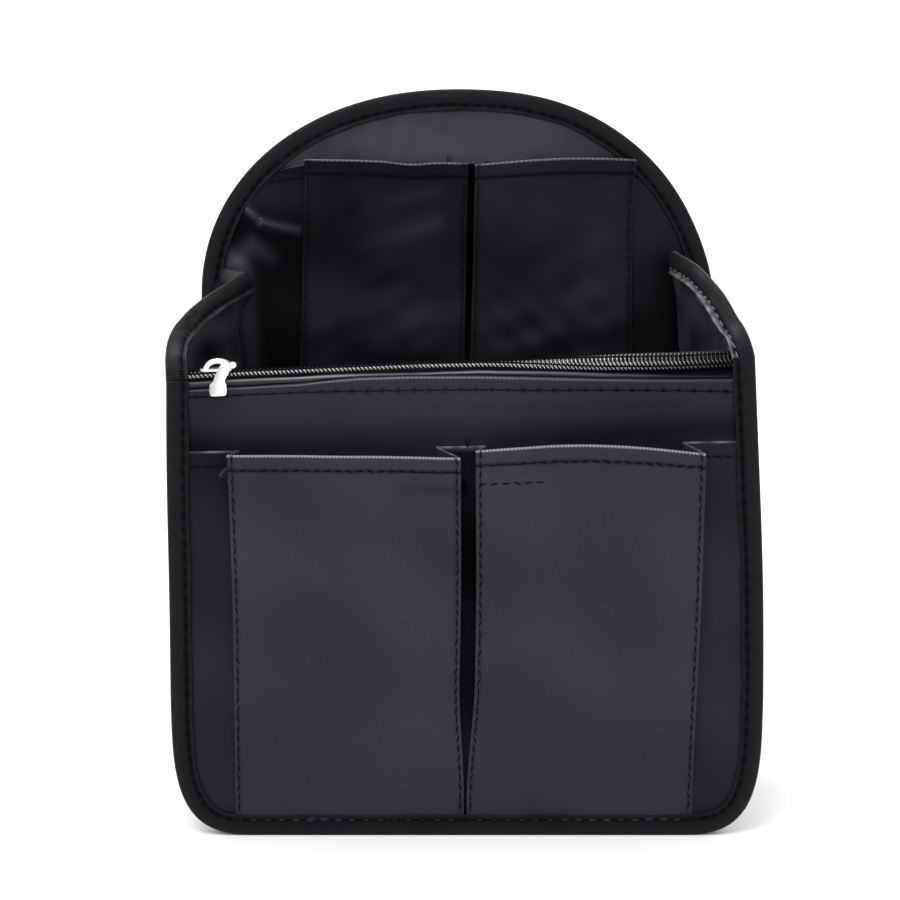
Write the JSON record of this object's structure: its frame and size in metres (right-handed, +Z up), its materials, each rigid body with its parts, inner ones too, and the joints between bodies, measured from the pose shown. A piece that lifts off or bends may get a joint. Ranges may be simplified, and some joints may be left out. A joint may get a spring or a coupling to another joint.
{
  "type": "bag organizer insert",
  "caption": "Upright cloth organizer insert for a small backpack: arched back panel, front panel with zip and pleated pockets, folded side walls.",
  "frame": {"origin": "under the middle of the organizer's box, on the surface it stands on", "axes": "+Z up, +Y to the rear, away from the zip and the front pockets, +X to the right as seen from the front"},
  "size_m": [0.2082, 0.0956, 0.2625],
  "materials": {
    "shell_cloth": "satin",
    "lining_cloth": "satin",
    "binding_tape": "matte",
    "zip_tape": "matte",
    "panel_board": "matte",
    "zip_coil": "satin",
    "nickel": "polished"
  },
  "bodies": {
    "back_panel": {"back_binding": "binding_tape", "back_pocket_band": "lining_cloth", "back_lining": "lining_cloth", "back_board": "panel_board", "back_cover": "shell_cloth", "bottom_wall": "lining_cloth", "side_wall_left": "lining_cloth", "side_wall_right": "lining_cloth", "side_top_binding_left": "binding_tape", "side_top_binding_right": "binding_tape"},
    "front_panel": {"front_binding": "binding_tape", "front_pocket_band": "shell_cloth", "front_cover": "shell_cloth", "zip_pocket_back": "lining_cloth", "front_board": "panel_board", "front_lining": "lining_cloth", "zip_tape_front": "zip_tape", "zip_tape_back": "zip_tape", "zip_coil_front": "zip_coil", "zip_coil_back": "zip_coil"},
    "slider": {"slider_body": "nickel", "slider_crown": "nickel"},
    "pull": {"pull_tab": "nickel"}
  },
  "joints": [
    {"name": "front_panel_lean", "type": "hinge", "parent": "back_panel", "child": "front_panel", "pos_m": [0, -0.03318, 0.00845], "axis": [1, 0, 0], "range_deg": [-5, 12], "deforming": ["side_wall_left", "side_wall_right", "side_top_binding_left", "side_top_binding_right", "bottom_wall"]},
    {"name": "zip_slide", "type": "slide", "parent": "front_panel", "child": "slider", "axis": [0.9991, 0, 0.0432], "range_m": [0, 0.16], "deforming": ["zip_coil_front", "zip_coil_back"]},
    {"name": "pull_tab_swing", "type": "hinge", "parent": "slider", "child": "pull", "pos_m": [-0.08383, -0.03811, 0.1672], "axis": [-0.9991, 0, -0.0432], "range_deg": [0, 160]}
  ]
}
